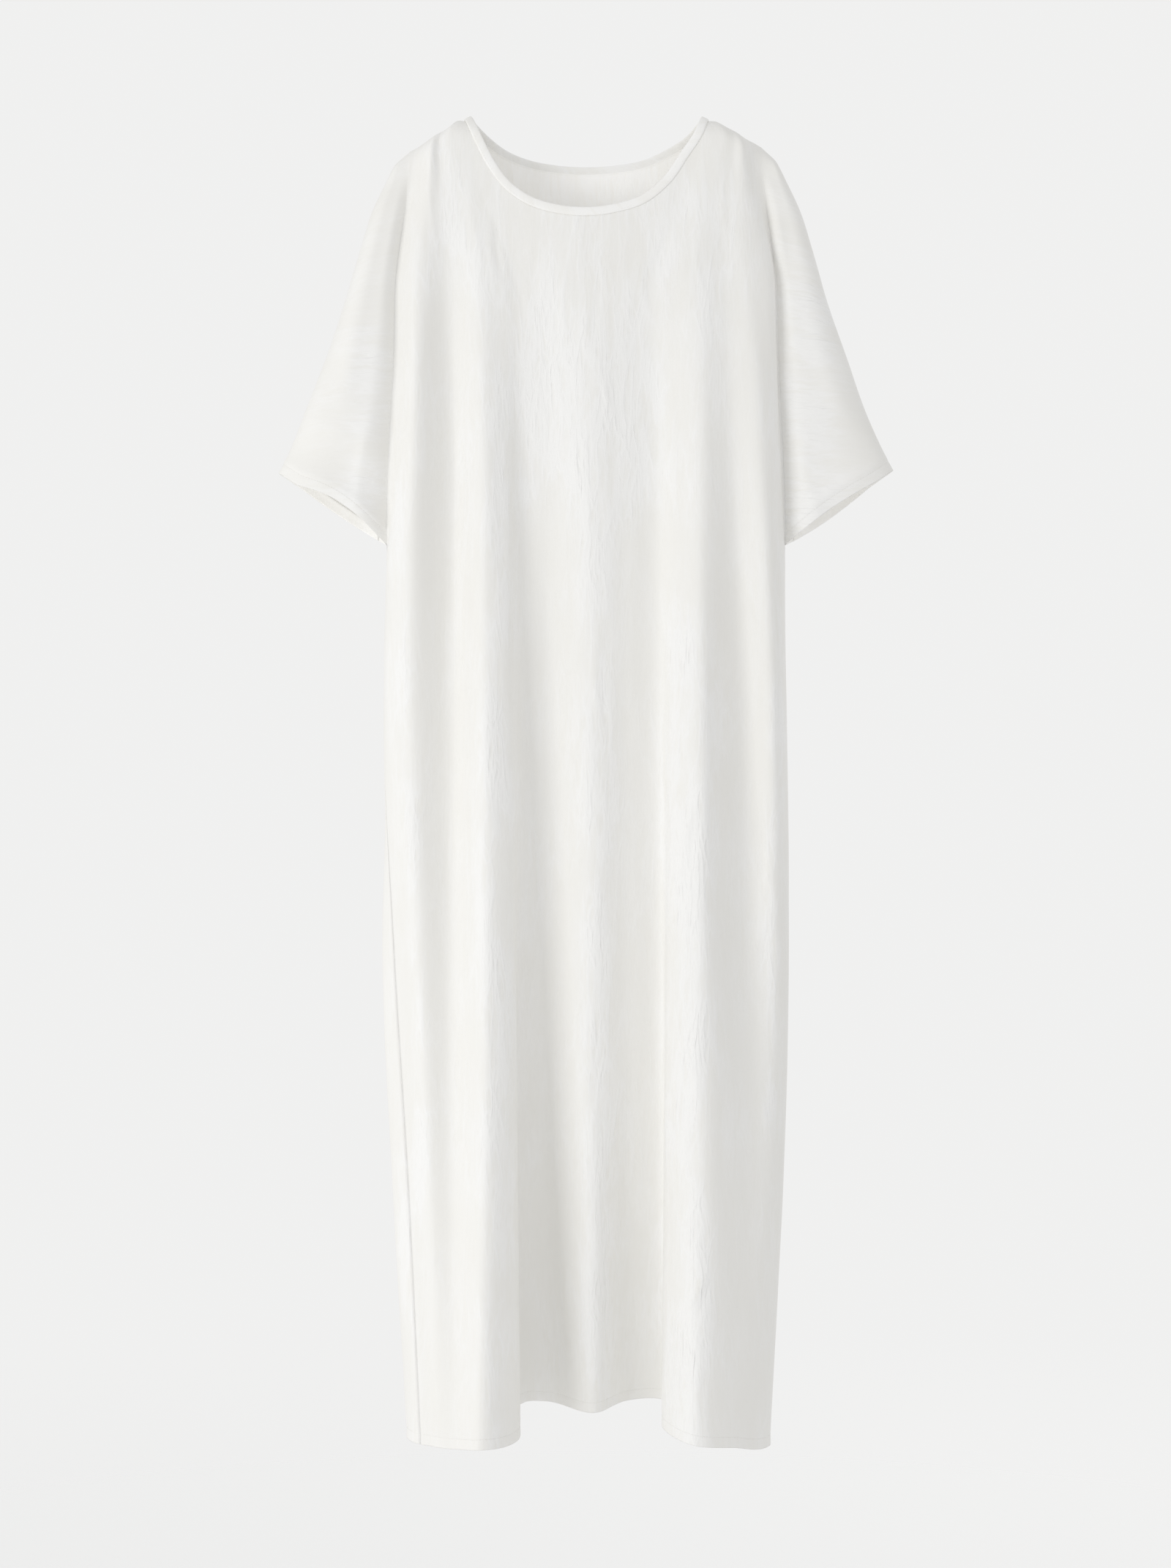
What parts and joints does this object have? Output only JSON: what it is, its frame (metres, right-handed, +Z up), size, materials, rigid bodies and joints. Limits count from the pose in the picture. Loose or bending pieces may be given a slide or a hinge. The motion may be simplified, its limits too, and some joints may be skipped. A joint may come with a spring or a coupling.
{
  "type": "abaya",
  "caption": "Long loose white abaya with a round bound neck and elbow-length batwing sleeves, hollow as if hung, with deep soft folds down the skirt.",
  "frame": {"origin": "midway between the two shoulder-neck points, at the height where a hanger bears the garment", "axes": "+Z up along the garment's length, +X to the right of the picture (the wearer's left), +Y to the back; the front faces -Y"},
  "size_m": [0.635, 0.1934, 1.368],
  "materials": {
    "front_panel": "matte crinkled crepe",
    "back_panel": "matte crinkled crepe",
    "neck_binding": "matte crinkled crepe",
    "front_hem_fold": "matte crinkled crepe",
    "back_hem_fold": "matte crinkled crepe",
    "front_cuff_fold_left": "matte crinkled crepe",
    "front_cuff_fold_right": "matte crinkled crepe",
    "back_cuff_fold_left": "matte crinkled crepe",
    "back_cuff_fold_right": "matte crinkled crepe"
  },
  "bodies": {
    "root": {"front_panel": "front_panel", "back_panel": "back_panel", "neck_binding": "neck_binding", "front_hem_fold": "front_hem_fold", "back_hem_fold": "back_hem_fold", "front_cuff_fold_left": "front_cuff_fold_left", "front_cuff_fold_right": "front_cuff_fold_right", "back_cuff_fold_left": "back_cuff_fold_left", "back_cuff_fold_right": "back_cuff_fold_right"}
  },
  "joints": []
}
